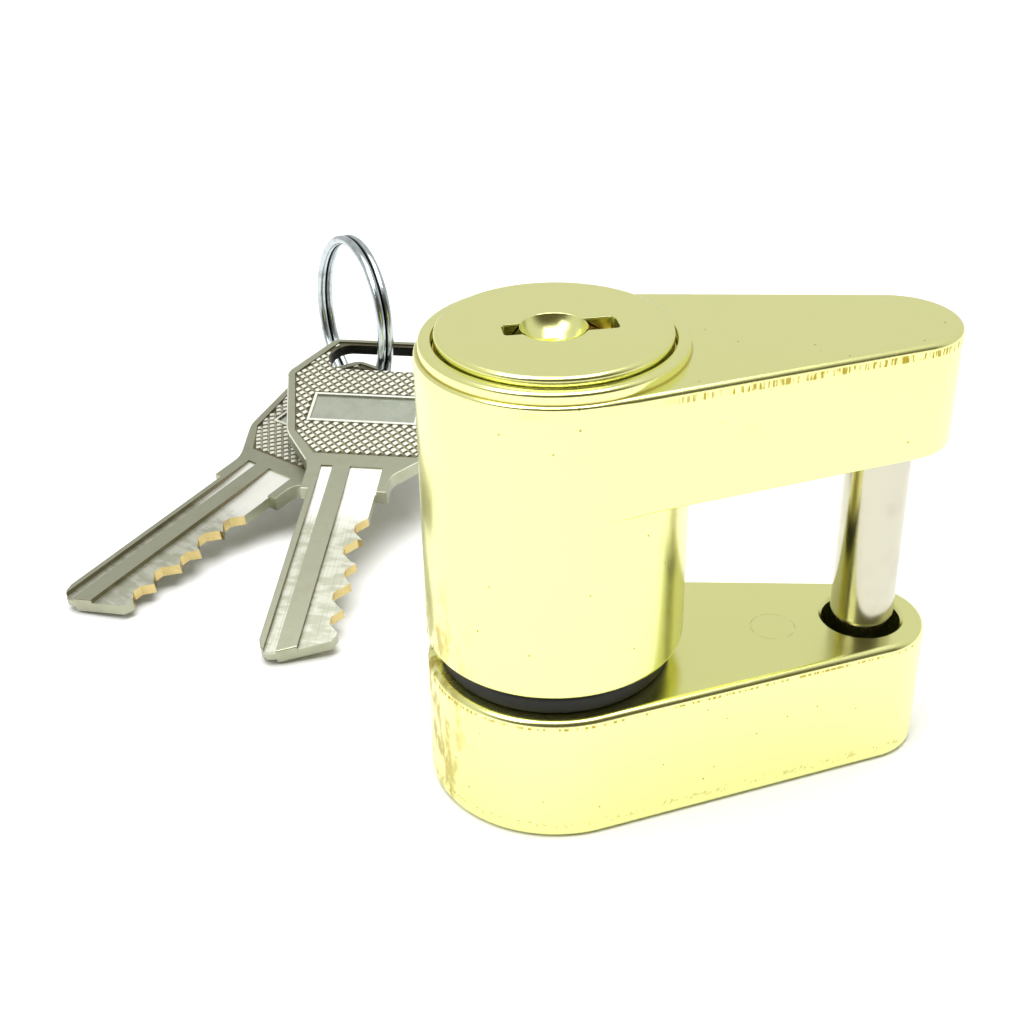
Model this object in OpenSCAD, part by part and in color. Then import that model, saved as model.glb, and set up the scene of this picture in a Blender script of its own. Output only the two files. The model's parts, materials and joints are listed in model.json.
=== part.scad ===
// Two-piece pin lock: a barrel and arm with a pressed-in shackle pin over a matching base, with two keys.
// Millimetres, +Z up. The origin is on the barrel's axis, on the face that the base stands on.

/* [Lock body] */
// Radius of the barrel and of the base's round end
barrel_r = 12.7; // [12.7:0.1:13.4]
// Radius of the arm's and the base's narrow end
nose_r = 6.4; // [5.6:0.1:8]
// Distance from the barrel's axis to the shackle pin's axis
pin_x = 32; // [30:0.5:40]
// Clear height between the base and the arm
span_h = 21.2; // [20:0.1:24]
// Thickness of the arm
arm_h = 11.6; // [10:0.1:14]
// Radius of the raised ring on top of the barrel
collar_r = 12.3; // [12:0.1:12.7]
// Height of the raised ring on top of the barrel
collar_h = 1.1; // [0.6:0.1:1.5]

/* [Base] */
// Thickness of the base
base_h = 14; // [14:0.5:18]
// Gap between the base and the barrel when shut
gap_h = 2.6; // [2.4:0.1:3]

/* [Shackle pin] */
// Radius of the shackle pin
pin_r = 3.175; // [3:0.005:3.3]
// Radius of the hole in the base that takes the shackle pin
pin_hole_r = 4; // [3.8:0.1:4.4]

/* [Lock cylinder] */
// Radius of the plug that the key turns
plug_r = 6.5; // [6.4:0.1:6.8]
// Radius of the round face with the keyhole
face_r = 10.85; // [10.6:0.05:10.9]
// Distance between neighbouring pin tumblers
tumbler_pitch = 3.8; // [3.6:0.1:3.9]
// Number of pin tumblers
tumbler_count = 5; // [4:1:5]

/* [Keys] */
// Length of a key's blade
blade_l = 27; // [25:0.5:27.5]
// Width of a key's blade
blade_w = 8.6; // [8.4:0.1:8.8]
// Thickness of a key
key_t = 2; // [1.8:0.1:2.1]
// Centre-line radius of the split ring
ring_r = 10.8; // [10.5:0.1:11]
// Radius of the split ring's wire
ring_wire_r = 0.6; // [0.5:0.05:0.65]

/* [Hidden] */
$fn = 64;

eps = 0.5;
slide_gap = 0.05;

// Heights of the two castings
barrel_z = base_h + gap_h;
arm_z = base_h + span_h;
arm_top = arm_z + arm_h;
collar_top = arm_top + collar_h;
face_top = collar_top + 0.8;
face_chamfer = 0.5;
face_z = arm_top + 0.1;

// Bores in the barrel, from the floor up
floor_z = barrel_z + 1.8;
tail_hole_r = 5;
lower_bore_r = 9.5;
shell_z = floor_z + 5;
main_bore_r = 11.1;

// Cylinder shell
shell_r = main_bore_r - 0.1;
shell_bore_r = plug_r + slide_gap;
chamber_r = 1.5;
cover_w = 3.6;
cover_l = 20;
cover_t = 0.5;
first_tumbler_z = arm_top - 4.1;
tumbler_z = [for (k = [0:tumbler_count - 1]) first_tumbler_z - k * tumbler_pitch];
cover_z = first_tumbler_z + 2.2 - cover_l;
cover_x = shell_r - 0.1 - cover_t;
cover_play = 0.02;
shell_pin_r = 1.25;
shell_pin_z = shell_z + 8;
shell_pin_y = 8.5;
shell_pin_l = 3.7;

// Pin tumblers, standing at the shear line
driver_r = 1.42;
driver_x = plug_r + 0.08;
driver_l = 1.8;
key_pin_x = 3.2;
key_pin_point = 0.8;
key_pin_tip_r = 0.6;
spring_wire_r = 0.16;
spring_play = 0.02;
spring_r = 1;
spring_turns = 4;

// Plug and what hangs on it
plug_z = floor_z + 0.3;
keyway_w = 2.6;
keyway_x = [-4.3, 5.2];
keyway_z = face_top - blade_l - 0.1;
groove_r = plug_r - 0.6;
clip_t = 0.8;
clip_r = plug_r + 1.5;
clip_mouth = 4.4;
clip_z = shell_z - 1.6;
washer_t = 0.6;
washer_z = shell_z - 0.1 - washer_t;
tang_r = 2.6;
tang_l = 2.7;
stem_r = 3.7;
head_l = 15;
head_w = 7.4;
head_t = 3.2;
head_z = 4.4;
tail_pin_r = 0.6;
tail_pin_z = plug_z + 1.4;

// Keyhole in the face
dimple_r = 3.1;
dimple_floor_r = 0.9;
dimple_h = 1.5;
dowel_r = 0.8;
dowel_y = 4.6;
dowel_l = 2.6;
dowel_z = face_z - 1.9;

// Inside of the base
slot_l = head_l + 0.8;
slot_w = head_w + 1;
pocket_r = 9.4;
cover_wall = 0.9;
keeper_z = head_z + head_t + 0.4;
keeper_t = 1.6;
cover_floor = 1.5;
pin_hole_z = 3;
pin_tip_z = 4.6;
pin_tip_r = 2.9;
pin_neck_z = base_h + 0.4;
pin_press_r = pin_r - 0.25;
pin_press_l = 9;
pin_lead = 0.6;
pin_tip_chamfer = 0.8;
washer_r = 11.4;
washer_h = 2;

// Lengths along a key from its shoulder, across it from its centre line
neck_l = 8;
shoulder_l = 3;
neck_side = shoulder_l + 1.6;
bow_w = 24.3;
bow_l = 22.4;
bow_foot = [9.5, 10.7];
bow_foot_right = [9.8, 6.8];
bow_corner = [5.1, 7.6];
ring_slot_l = 14;
ring_slot_w = 5.4;
ring_slot_v = neck_l + bow_l - 3.7;
panel_v = [neck_l + 5.4, neck_l + 10.4];
panel_depth = 0.25;
groove_depth = 0.55;
groove_top = 4.5;
groove_w = 1.5;
groove_edge = 0.8;
ridge_edge = 0.3;
tip_l = 3.6;
cut_flat = 1.1;
first_cut = 6;

// Where the two keys and their ring lie: shoulder point, tilt and turn
front_tilt = 14;
front_turn = -16.5;
front_at = [-19.1, 45.5];
rear_tilt = 9;
rear_turn = -47;
rear_at = [-31.4, 53];
key_rest_z = key_t / 2 + 0.25;
ring_at = [-14.5, 79.9, 17.5];
ring_turn = 109.5;
ring_lean = 3.4;

brass = "goldenrod";
gold = "palegoldenrod";
steel = "silver";
nickel = "lightgray";
rubber = "dimgray";

// A cylinder that stands on z
module rod(r, z, h) {
  translate([0, 0, z]) cylinder(r = r, h = h);
}

// A round bar along X
module bar_x(r, x, l) {
  translate([x, 0, 0]) rotate([0, 90, 0]) cylinder(r = r, h = l);
}

// A tube that stands on z
module tube(outer, inner, z, h) {
  difference() {
    rod(outer, z, h);
    rod(inner, z - eps, h + 2 * eps);
  }
}

// Two circles joined by their outer tangents, the outline that the arm and the base share
module drop_outline() {
  c = (barrel_r - nose_r) / pin_x;
  s = sqrt(1 - c * c);
  circle(r = barrel_r);
  translate([pin_x, 0]) circle(r = nose_r);
  polygon([
    [barrel_r * c, -barrel_r * s],
    [pin_x + nose_r * c, -nose_r * s],
    [pin_x + nose_r * c, nose_r * s],
    [barrel_r * c, barrel_r * s]
  ]);
}

module at_tumblers() {
  for (z = tumbler_z) translate([0, 0, z]) children();
}

module lock_body() {
  color(gold) difference() {
    union() {
      rod(barrel_r, barrel_z, arm_z - barrel_z);
      translate([0, 0, arm_z]) linear_extrude(arm_h) drop_outline();
      rod(collar_r, arm_top, collar_h);
    }
    rod(tail_hole_r, barrel_z - eps, gap_h + eps);
    rod(lower_bore_r, floor_z, shell_z - floor_z + eps);
    rod(main_bore_r, shell_z, collar_top - shell_z + eps);
    translate([pin_x, 0, 0]) rod(pin_press_r, arm_z - eps, pin_press_l + eps);
    translate([0, 0, shell_pin_z]) rotate([0, 0, 90])
      bar_x(shell_pin_r, main_bore_r - 1, barrel_r - main_bore_r + 2);
  }
}

module shackle_pin() {
  color(steel) translate([pin_x, 0, 0]) {
    rod(pin_press_r, arm_z, pin_press_l);
    rod(pin_r, pin_neck_z + pin_lead, arm_z - pin_neck_z - pin_lead);
    translate([0, 0, pin_neck_z]) cylinder(r1 = pin_tip_r, r2 = pin_r, h = pin_lead);
    rod(pin_tip_r, pin_tip_z + pin_tip_chamfer, pin_neck_z - pin_tip_z - pin_tip_chamfer);
    translate([0, 0, pin_tip_z])
      cylinder(r1 = pin_tip_r - pin_tip_chamfer, r2 = pin_tip_r, h = pin_tip_chamfer);
  }
}

module cylinder_shell() {
  color(brass) difference() {
    tube(shell_r, shell_bore_r, shell_z, arm_top - shell_z);
    at_tumblers() bar_x(chamber_r, 5, shell_r);
    translate([cover_x - cover_play, -cover_w / 2 - cover_play, cover_z - cover_play])
      cube([cover_t + 1, cover_w + 2 * cover_play, cover_l + 2 * cover_play]);
    translate([0, 0, shell_pin_z]) rotate([0, 0, 90])
      bar_x(shell_pin_r, shell_pin_y - 0.1, shell_r - shell_pin_y + 1);
  }
}

module shell_pin() {
  color(steel) translate([0, 0, shell_pin_z]) rotate([0, 0, 90]) bar_x(shell_pin_r, shell_pin_y, shell_pin_l);
}

module chamber_cover() {
  color(brass) translate([cover_x, -cover_w / 2, cover_z]) cube([cover_t - 0.12, cover_w, cover_l]);
}

module driver_pins() {
  color(brass) at_tumblers() bar_x(driver_r, driver_x, driver_l);
}

// A wire of radius wire_r wound as a helix of radius r and length l along X
module coil(r, wire_r, l, turns) {
  steps = 12 * turns;
  sides = 6;
  rings = [
    for (i = [0:steps]) [
      for (j = [0:sides - 1])
        let (a = 30 * i, b = 360 * j / sides, q = r + wire_r * cos(b))
        [wire_r + (l - 2 * wire_r) * i / steps + wire_r * sin(b), q * cos(a), q * sin(a)]
    ]
  ];
  wall = [
    for (i = [0:steps - 1], j = [0:sides - 1])
      let (k = (j + 1) % sides)
      [i * sides + j, i * sides + k, (i + 1) * sides + k, (i + 1) * sides + j]
  ];
  start = [for (j = [0:sides - 1]) sides - 1 - j];
  end = [for (j = [0:sides - 1]) steps * sides + j];
  polyhedron([for (ring = rings, point = ring) point], concat([start, end], wall));
}

module driver_springs() {
  spring_x = driver_x + driver_l + spring_play;
  color(steel) at_tumblers() translate([spring_x, 0, 0])
    coil(spring_r, spring_wire_r, cover_x - spring_x - spring_play, spring_turns);
}

// The slot that a key goes down
module keyway(z, h) {
  translate([keyway_x[0], -keyway_w / 2, z]) cube([keyway_x[1] - keyway_x[0], keyway_w, h]);
}

module dowels(r, z, h) {
  for (side = [-1, 1]) translate([0, side * dowel_y, 0]) rod(r, z, h);
}

module plug() {
  color(brass) difference() {
    rod(plug_r, plug_z, face_z - plug_z);
    keyway(keyway_z, face_z);
    at_tumblers() bar_x(chamber_r, 0, plug_r + 1);
    tube(plug_r + 1, groove_r, clip_z - 0.02, clip_t + 0.04);
    rod(tang_r, plug_z - eps, tang_l + eps);
    translate([-plug_r - 1, 0, tail_pin_z]) bar_x(tail_pin_r, 0, 2 * plug_r + 2);
    dowels(dowel_r, dowel_z - 0.1, dowel_l);
  }
}

module face_disc() {
  color(gold) difference() {
    union() {
      rod(face_r, face_z, face_top - face_chamfer - face_z);
      translate([0, 0, face_top - face_chamfer])
        cylinder(r1 = face_r, r2 = face_r - face_chamfer, h = face_chamfer);
    }
    keyway(face_z - eps, face_top - face_z + 2 * eps);
    translate([0, 0, face_top - dimple_h]) cylinder(r1 = dimple_floor_r, r2 = dimple_r, h = dimple_h + 0.001);
    dowels(dowel_r, dowel_z, dowel_l + 0.1);
  }
}

module face_dowels() {
  color(steel) dowels(dowel_r, dowel_z, dowel_l);
}

module key_pins() {
  color(brass) for (k = [0:tumbler_count - 1]) {
    reach = key_pin_x + 0.25 * (k % 3);
    translate([0, 0, tumbler_z[k]]) {
      bar_x(driver_r, reach + key_pin_point, plug_r - 0.35 - reach - key_pin_point);
      translate([reach, 0, 0]) rotate([0, 90, 0])
        cylinder(r1 = key_pin_tip_r, r2 = driver_r, h = key_pin_point);
    }
  }
}

module thrust_washer() {
  color(steel) tube(lower_bore_r - 0.3, plug_r + 0.1, washer_z, washer_t);
}

module circlip() {
  color(steel) difference() {
    tube(clip_r, groove_r, clip_z, clip_t);
    translate([0, -clip_mouth / 2, clip_z - eps]) cube([clip_r + 1, clip_mouth, clip_t + 2 * eps]);
  }
}

// Hammer-headed bar that the plug turns across the keeper's slot
module locking_tail() {
  color(steel) difference() {
    union() {
      rod(tang_r, plug_z, tang_l);
      rod(stem_r, head_z + head_t, plug_z - head_z - head_t);
      intersection() {
        rod(head_l / 2, head_z, head_t);
        translate([-head_l / 2, -head_w / 2, head_z]) cube([head_l, head_w, head_t]);
      }
    }
    translate([-plug_r, 0, tail_pin_z]) bar_x(tail_pin_r, 0, 2 * plug_r);
  }
}

module tail_pin() {
  color(steel) translate([-plug_r + 0.1, 0, tail_pin_z]) bar_x(tail_pin_r, 0, 2 * plug_r - 0.2);
}

// Slot that the tail's head passes through
module head_slot(z, h) {
  intersection() {
    rod(slot_l / 2, z, h);
    translate([-slot_l / 2, -slot_w / 2, z]) cube([slot_l, slot_w, h]);
  }
}

module base_plate() {
  top_wall_z = keeper_z + keeper_t;
  color(gold) difference() {
    linear_extrude(base_h) drop_outline();
    rod(pocket_r, -eps, top_wall_z + eps);
    head_slot(top_wall_z - eps, base_h);
    translate([pin_x, 0, 0]) rod(pin_hole_r, pin_hole_z, base_h);
  }
}

module keeper_plate() {
  color(steel) difference() {
    rod(pocket_r - 0.05, keeper_z, keeper_t);
    head_slot(keeper_z - eps, keeper_t + 2 * eps);
  }
}

module base_cover() {
  color(steel) {
    rod(pocket_r, 0, cover_floor);
    tube(pocket_r, pocket_r - cover_wall, cover_floor, keeper_z - cover_floor);
  }
}

module rattle_washer() {
  color(rubber) tube(washer_r, head_l / 2 + 0.7, base_h, washer_h);
}

// Outline of a key, with its cuts given as depths from the shoulder on
module key_outline(cuts) {
  half = blade_w / 2;
  bow = bow_w / 2;
  top = neck_l + bow_l;
  cut_points = [
    for (k = [0:len(cuts) - 1])
      let (v = -first_cut - k * tumbler_pitch, ramp = min(cuts[k], (tumbler_pitch - cut_flat) / 2))
      each [
        [half - cuts[k] + ramp, v + cut_flat / 2 + ramp],
        [half - cuts[k], v + cut_flat / 2],
        [half - cuts[k], v - cut_flat / 2],
        [half - cuts[k] + ramp, v - cut_flat / 2 - ramp]
      ]
  ];
  polygon(concat(
    [[-half, 0], [-half, -blade_l + 1.8], [-half + 1.2, -blade_l], [-half + 2.6, -blade_l + 0.2]],
    [[half - 0.4, -blade_l + tip_l - 1], [half, -blade_l + tip_l]],
    [for (k = [len(cut_points) - 1:-1:0]) cut_points[k]],
    [[half, 0], [half + 1.5, 0], [half + 1.5, shoulder_l], bow_foot_right],
    [[bow, top - bow_corner[1]], [bow - bow_corner[0], top]],
    [[-bow + bow_corner[0], top], [-bow, top - bow_corner[1]]],
    [[-bow_foot[0], bow_foot[1]], [-half - 1, neck_side], [-half - 1, 0]]
  ));
}

// A whole key, lying along Y with its shoulder at the origin
module key_blank(cuts) {
  half = blade_w / 2;
  groove_foot = -blade_l - 1;
  groove_l = groove_top - groove_foot;
  groove_z = key_t / 2 - groove_depth;
  difference() {
    translate([0, 0, -key_t / 2]) linear_extrude(key_t) difference() {
      key_outline(cuts);
      for (side = [-1, 1]) translate([side * (ring_slot_l - ring_slot_w) / 2, ring_slot_v])
        circle(r = ring_slot_w / 2);
      translate([-(ring_slot_l - ring_slot_w) / 2, ring_slot_v - ring_slot_w / 2])
        square([ring_slot_l - ring_slot_w, ring_slot_w]);
    }
    for (side = [0, 1]) mirror([0, 0, side]) {
      translate([-ring_slot_l / 2, panel_v[0], key_t / 2 - panel_depth])
        cube([ring_slot_l, panel_v[1] - panel_v[0], 1]);
      translate([-half + groove_edge, groove_foot, groove_z]) cube([groove_w, groove_l, 1]);
    }
    translate([ridge_edge, groove_foot, groove_z]) cube([half + 0.1 - ridge_edge, groove_l, 1]);
  }
}

// Puts a key down: its tip on the ground, its bow raised by tilt
module lay_key(at, tilt, turn) {
  translate([at[0], at[1], key_rest_z + blade_l * sin(tilt)]) rotate([tilt, 0, turn]) children();
}

module front_key() {
  color(nickel) lay_key(front_at, front_tilt, front_turn) key_blank([1.4, 2, 1.1, 1.7, 1.2]);
}

module rear_key() {
  color(nickel) lay_key(rear_at, rear_tilt, rear_turn) key_blank([1.4, 2, 1.1, 1.7, 1.2]);
}

// Two closed turns side by side
module key_ring() {
  color(steel) translate(ring_at) rotate([0, 0, ring_turn]) rotate([90 + ring_lean, 0, 0])
    rotate_extrude() for (side = [-1, 1])
      translate([ring_r, side * ring_wire_r * 0.9]) circle(r = ring_wire_r);
}

lock_body();
shackle_pin();
cylinder_shell();
shell_pin();
chamber_cover();
driver_pins();
driver_springs();
plug();
face_disc();
face_dowels();
key_pins();
thrust_washer();
circlip();
locking_tail();
tail_pin();
base_plate();
keeper_plate();
base_cover();
rattle_washer();
front_key();
rear_key();
key_ring();
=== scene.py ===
"""Visual model of a two-piece pin lock with two keys on a split ring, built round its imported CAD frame."""

import json
import logging
import math
from dataclasses import dataclass, field
from enum import Enum
from typing import Any, Callable, Iterable, Sequence

import bmesh
import bpy
from mathutils import Euler, Matrix, Vector

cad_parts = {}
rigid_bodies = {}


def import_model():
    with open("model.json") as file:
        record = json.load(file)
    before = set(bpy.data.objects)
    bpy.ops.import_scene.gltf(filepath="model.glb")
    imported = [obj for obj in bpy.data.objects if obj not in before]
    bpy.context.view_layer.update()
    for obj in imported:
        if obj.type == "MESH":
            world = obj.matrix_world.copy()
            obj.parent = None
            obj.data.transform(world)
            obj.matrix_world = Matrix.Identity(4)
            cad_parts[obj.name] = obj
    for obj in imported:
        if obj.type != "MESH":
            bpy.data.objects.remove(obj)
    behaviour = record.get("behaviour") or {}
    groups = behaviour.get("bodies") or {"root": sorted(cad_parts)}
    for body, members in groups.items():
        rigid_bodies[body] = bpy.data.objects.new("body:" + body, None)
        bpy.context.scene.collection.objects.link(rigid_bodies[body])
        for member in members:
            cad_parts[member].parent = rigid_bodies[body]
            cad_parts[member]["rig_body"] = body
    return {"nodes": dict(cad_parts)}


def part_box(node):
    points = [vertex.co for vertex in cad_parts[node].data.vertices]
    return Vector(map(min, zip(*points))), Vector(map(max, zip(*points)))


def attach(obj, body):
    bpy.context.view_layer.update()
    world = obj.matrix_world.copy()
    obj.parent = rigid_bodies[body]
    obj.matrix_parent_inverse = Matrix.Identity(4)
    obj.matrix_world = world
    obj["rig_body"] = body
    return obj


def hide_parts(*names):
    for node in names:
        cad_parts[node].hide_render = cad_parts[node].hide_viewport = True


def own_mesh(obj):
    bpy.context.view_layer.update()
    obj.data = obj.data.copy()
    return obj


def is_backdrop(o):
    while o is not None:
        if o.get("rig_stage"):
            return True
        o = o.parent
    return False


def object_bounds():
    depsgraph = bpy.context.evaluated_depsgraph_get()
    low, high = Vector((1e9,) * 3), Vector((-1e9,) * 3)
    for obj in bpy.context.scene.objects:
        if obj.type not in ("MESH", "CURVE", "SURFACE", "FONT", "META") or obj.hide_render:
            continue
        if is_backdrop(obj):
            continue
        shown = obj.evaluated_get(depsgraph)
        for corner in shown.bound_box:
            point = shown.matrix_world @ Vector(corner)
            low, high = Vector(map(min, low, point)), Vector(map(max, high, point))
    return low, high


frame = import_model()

LOG = logging.getLogger("pin_lock")
MM = 0.001
TOUCH = 1e-3
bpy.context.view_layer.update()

Triple = tuple[float, float, float]
Colour = Triple
Point = tuple[float, float]
Span = tuple[float, float]


class Part(Enum):
    """Which parts of a mesh a selection is made of."""

    VERTS = "VERT"
    EDGES = "EDGE"
    FACES = "FACE"


class Cut(Enum):
    """How one solid changes another."""

    REMOVE = "DIFFERENCE"
    JOIN = "UNION"


class KeySurface(Enum):
    """Kinds of surface on a key, numbered as its material slots."""

    SATIN = 0
    MILLED = 1
    CUT = 2
    # bright rubbed nickel: worn knurl tops, and a painted highlight on the knurl slopes facing away from the
    # shade side
    RUBBED_TOP_AND_PAINTED_LIGHT = 3
    # painted shade: groove walls, the knurl floor and the knurl slopes facing the shade side
    PAINTED_SHADE = 4
    PANEL = 5
    SHADED = 6


class Side(Enum):
    """The two flat faces of a key, with the sign of their normals."""

    TOP = 1
    UNDER = -1


# ---------------------------------------------------------------- modelling


def node_box(node: str) -> tuple[Vector, Vector]:
    """Returns a CAD node's lowest and highest corner in millimetres."""
    low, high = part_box(node)
    return low / MM, high / MM


def middle(part: Any) -> Vector:
    """Gives the middle of a part of a mesh in millimetres.

    Args:
        part: a vertex, an edge or a face of an edit-mode mesh.

    Returns:
        The middle point.
    """
    if isinstance(part, bmesh.types.BMVert):
        return part.co / MM
    return sum((v.co for v in part.verts), Vector()) / len(part.verts) / MM


def is_level(part: Any, height: float) -> bool:
    """Tells if every vertex of a part lies at one height, given in millimetres."""
    verts = [part] if isinstance(part, bmesh.types.BMVert) else part.verts
    return all(abs(v.co.z / MM - height) < TOUCH * 5 for v in verts)


def is_upright(edge: Any) -> bool:
    """Tells if an edge rises by more than a millimetre."""
    return abs(edge.verts[0].co.z - edge.verts[1].co.z) > MM


@dataclass
class Workpiece:
    """A mesh on the bench: begun as a primitive, shaped in edit mode and finished with modifiers."""

    obj: bpy.types.Object

    @classmethod
    def started(cls, name: str) -> "Workpiece":
        """Names the primitive just added and puts its place into its mesh."""
        obj = bpy.context.active_object
        obj.name = obj.data.name = name
        bpy.ops.object.transform_apply(location=True, rotation=True, scale=True)
        return cls(obj)

    @classmethod
    def cylinder(
        cls,
        name: str,
        radius: float,
        low: float,
        high: float,
        at: Point = (0.0, 0.0),
        sides: int = 128,
        top_radius: float | None = None,
    ) -> "Workpiece":
        """Adds a cylinder, or a cone with a cut-off top, that stands on a height.

        Args:
            name: the new object's name.
            radius: radius at the bottom, in millimetres.
            low: height of the bottom.
            high: height of the top.
            at: place of the axis.
            sides: number of sides.
            top_radius: radius at the top where it differs.

        Returns:
            The new workpiece.
        """
        cls.clear_bench()
        place = Vector((at[0], at[1], (low + high) / 2)) * MM
        upper = radius if top_radius is None else top_radius
        bpy.ops.mesh.primitive_cone_add(
            vertices=sides,
            radius1=radius * MM,
            radius2=upper * MM,
            depth=(high - low) * MM,
            location=place,
        )
        return cls.started(name)

    @classmethod
    def block(cls, name: str, low: Sequence[float], high: Sequence[float]) -> "Workpiece":
        """Adds a box between two corners given in millimetres."""
        cls.clear_bench()
        low_corner, high_corner = Vector(low) * MM, Vector(high) * MM
        bpy.ops.mesh.primitive_cube_add(
            size=1, location=(low_corner + high_corner) / 2, scale=high_corner - low_corner
        )
        return cls.started(name)

    @classmethod
    def ball(cls, name: str, radius: float, centre: Sequence[float]) -> "Workpiece":
        """Adds a ball of a radius about a centre, in millimetres."""
        cls.clear_bench()
        bpy.ops.mesh.primitive_uv_sphere_add(
            segments=96, ring_count=48, radius=radius * MM, location=Vector(centre) * MM
        )
        return cls.started(name)

    @classmethod
    def plate(cls, name: str, outline: Sequence[Point], low: float, high: float) -> "Workpiece":
        """Makes a flat plate from a disc whose rim is moved, corner by corner, to an outline.

        Args:
            name: the new object's name.
            outline: corners, anticlockwise, in millimetres.
            low: height of the underside.
            high: height of the top.

        Returns:
            The new workpiece.
        """
        cls.clear_bench()
        bpy.ops.mesh.primitive_circle_add(
            vertices=len(outline), radius=MM, fill_type="NGON", location=(0, 0, low * MM)
        )
        piece = cls.started(name)
        rim = [v.co.copy() for v in piece.obj.data.vertices]
        winding = 1 if rim[1].cross(rim[0]).z < 0 else -1
        corners = list(outline)[::winding]
        for index, (start, corner) in enumerate(zip(rim, corners)):
            piece.pick(Part.VERTS, lambda v: v.index == index)
            shift = Vector((corner[0] * MM - start.x, corner[1] * MM - start.y, 0))
            bpy.ops.transform.translate(value=shift)
        piece.pick(Part.FACES, lambda f: True)
        piece.extrude((0, 0, high - low))
        piece.close_up()
        return piece

    @staticmethod
    def clear_bench() -> None:
        """Leaves edit mode and deselects everything."""
        if bpy.context.mode != "OBJECT":
            bpy.ops.object.mode_set(mode="OBJECT")
        bpy.ops.object.select_all(action="DESELECT")

    def edit(self) -> bmesh.types.BMesh:
        """Puts this piece alone in edit mode and returns its edit mesh."""
        if self.obj.mode != "EDIT":
            self.clear_bench()
            self.obj.select_set(True)
            bpy.context.view_layer.objects.active = self.obj
            bpy.ops.object.mode_set(mode="EDIT")
        return bmesh.from_edit_mesh(self.obj.data)

    def rest(self) -> "Workpiece":
        """Leaves edit mode with this piece active and selected."""
        self.clear_bench()
        self.obj.select_set(True)
        bpy.context.view_layer.objects.active = self.obj
        return self

    def pick(self, part: Part, test: Callable[[Any], bool]) -> int:
        """Selects just the parts that pass a test.

        Args:
            part: what the selection is made of.
            test: gets each vertex, edge or face and tells if it is wanted.

        Returns:
            How many parts are selected.
        """
        self.edit()
        bpy.ops.mesh.select_mode(type=part.value)
        mesh = bmesh.from_edit_mesh(self.obj.data)
        mesh.verts.index_update()
        sets = {Part.VERTS: mesh.verts, Part.EDGES: mesh.edges, Part.FACES: mesh.faces}
        wanted = [p for p in sets[part] if test(p)]
        for group in (mesh.verts, mesh.edges, mesh.faces):
            for each in group:
                each.select = False
        for each in wanted:
            each.select_set(True)
        mesh.select_flush_mode()
        bmesh.update_edit_mesh(self.obj.data)
        return len(wanted)

    def extrude(self, shift: Sequence[float] = (0, 0, 0)) -> None:
        """Extrudes the selected faces by a shift in millimetres."""
        move = {"value": Vector(shift) * MM}
        bpy.ops.mesh.extrude_region_move(TRANSFORM_OT_translate=move)

    def scale(self, factor: float, centre: Point = (0.0, 0.0)) -> None:
        """Scales the selection sideways about an upright axis."""
        pivot = Vector((centre[0], centre[1], 0)) * MM
        bpy.ops.transform.resize(value=(factor, factor, 1), center_override=pivot)

    def move(self, shift: Sequence[float]) -> None:
        """Moves the selection by a shift in millimetres."""
        bpy.ops.transform.translate(value=Vector(shift) * MM)

    def bevel(self, width: float, segments: int = 3) -> None:
        """Rounds the selected edges to a width in millimetres."""
        bpy.ops.mesh.bevel(offset=width * MM, segments=segments, affect="EDGES", profile=0.5)

    def close_up(self) -> None:
        """Merges doubled vertices and turns every face outwards."""
        self.pick(Part.VERTS, lambda v: True)
        bpy.ops.mesh.remove_doubles(threshold=2e-7)
        self.pick(Part.FACES, lambda f: True)
        bpy.ops.mesh.normals_make_consistent(inside=False)
        self.rest()

    def combine(self, tool: "Workpiece", cut: Cut = Cut.REMOVE) -> None:
        """Cuts another solid out of this one, or joins it on, and throws the tool away."""
        tool.rest()
        self.rest()
        step = self.obj.modifiers.new("cut", "BOOLEAN")
        step.operation, step.solver, step.object = cut.value, "EXACT", tool.obj
        bpy.ops.object.modifier_apply(modifier=step.name)
        bpy.data.objects.remove(tool.obj)

    def round_edges(self, width_at: Callable[[Any], float], most: float, segments: int = 4) -> None:
        """Rounds every edge by its own width through bevel weights.

        Args:
            width_at: gets an edge and returns its width in millimetres, 0 to leave it sharp.
            most: the largest of these widths.
            segments: faces across a rounded edge.
        """
        mesh = self.edit()
        widths = [max(0.0, min(1.0, width_at(edge) / most)) for edge in mesh.edges]
        self.rest()
        weights = self.obj.data.attributes.new("bevel_weight_edge", "FLOAT", "EDGE")
        weights.data.foreach_set("value", widths)
        step = self.obj.modifiers.new("rounding", "BEVEL")
        step.limit_method, step.width, step.segments = "WEIGHT", most * MM, segments
        step.use_clamp_overlap, step.loop_slide = False, False
        bpy.ops.object.modifier_apply(modifier=step.name)
        left = self.obj.data.attributes.get("bevel_weight_edge")
        if left:
            self.obj.data.attributes.remove(left)

    def smooth(self, angle: float = 32.0, weighted: bool = True) -> None:
        """Shades the piece smooth up to an angle in degrees, with flat faces kept flat."""
        self.rest()
        bpy.ops.object.shade_smooth_by_angle(angle=math.radians(angle))
        if weighted:
            step = self.obj.modifiers.new("flats", "WEIGHTED_NORMAL")
            step.keep_sharp = True
            bpy.ops.object.modifier_apply(modifier=step.name)

    def dress(self, *finishes: "Finish") -> None:
        """Gives the piece its material slots, in order."""
        self.obj.data.materials.clear()
        for finish in finishes:
            self.obj.data.materials.append(finish.material())

    def lay(self, lies: Matrix) -> None:
        """Takes the piece to its place and puts that place into its mesh."""
        self.obj.matrix_world = lies
        self.rest()
        bpy.ops.object.transform_apply(location=True, rotation=True, scale=True)

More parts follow.
